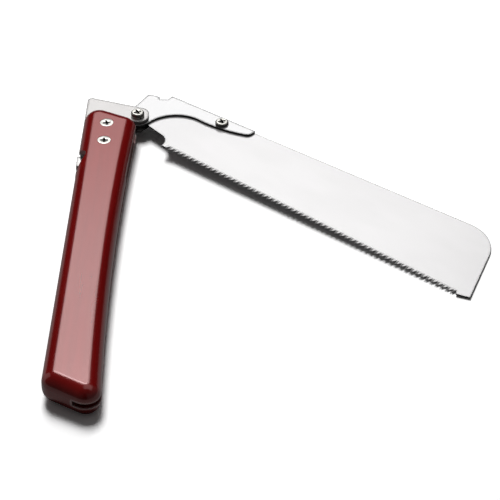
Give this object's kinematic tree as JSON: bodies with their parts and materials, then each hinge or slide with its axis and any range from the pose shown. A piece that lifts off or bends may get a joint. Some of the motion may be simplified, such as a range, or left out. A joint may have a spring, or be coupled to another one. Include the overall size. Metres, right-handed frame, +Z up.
{
  "type": "folding dozuki saw",
  "caption": "Folding pull saw: a long fine-toothed plate in a short steel holder that swings out of a slim slotted handle on a pivot screw and is held open by a sprung lockback lever.",
  "frame": {"origin": "on the bench, under the middle of the handle's flat underside", "axes": "+Z up from the bench, +Y along the handle from the butt to the pivot end, +X from the handle's spine to its tooth side"},
  "size_m": [0.2414, 0.2855, 0.019],
  "materials": {
    "handle_plastic": "dark mahogany red moulded handle, satin gloss",
    "frame_steel": "plated steel, satin",
    "lever_steel": "ground steel",
    "plated_screws": "bright nickel plating",
    "spring_steel": "dark spring steel",
    "shim_brass": "thin rolled brass",
    "blade_steel": "fine-ground saw plate, nearly white in the light",
    "holder_steel": "bright plated sheet steel"
  },
  "bodies": {
    "handle": {"handle": "handle_plastic", "front_cheek": "frame_steel", "rear_cheek": "frame_steel", "frame_spacers": "frame_steel", "handle_screws": "plated_screws", "handle_nuts": "plated_screws", "stop_pin": "frame_steel", "pivot_screw": "plated_screws", "pivot_spring_washer": "spring_steel", "pivot_bush": "frame_steel", "pivot_shims": "shim_brass", "pivot_nut": "plated_screws", "lock_pin": "frame_steel", "lock_spring": "spring_steel"},
    "blade": {"blade": "blade_steel", "holder_front_plate": "holder_steel", "holder_rear_plate": "holder_steel", "blade_screw": "plated_screws", "blade_nut": "plated_screws"},
    "lock_lever": {"lock_lever": "lever_steel"}
  },
  "joints": [
    {"name": "blade_fold", "type": "hinge", "parent": "handle", "child": "blade", "pos_m": [0.01575, 0.13275, 0.0095], "axis": [0, 0, 1], "range_deg": [-52.5, 127.5]},
    {"name": "lock_lever_rock", "type": "hinge", "parent": "handle", "child": "lock_lever", "pos_m": [-0.0126, 0.10575, 0.0095], "axis": [0, 0, 1], "range_deg": [-4.88, 3], "stiffness_Nm_per_rad": 0.6, "springref_deg": -11.46, "deforming": ["lock_spring"]}
  ]
}
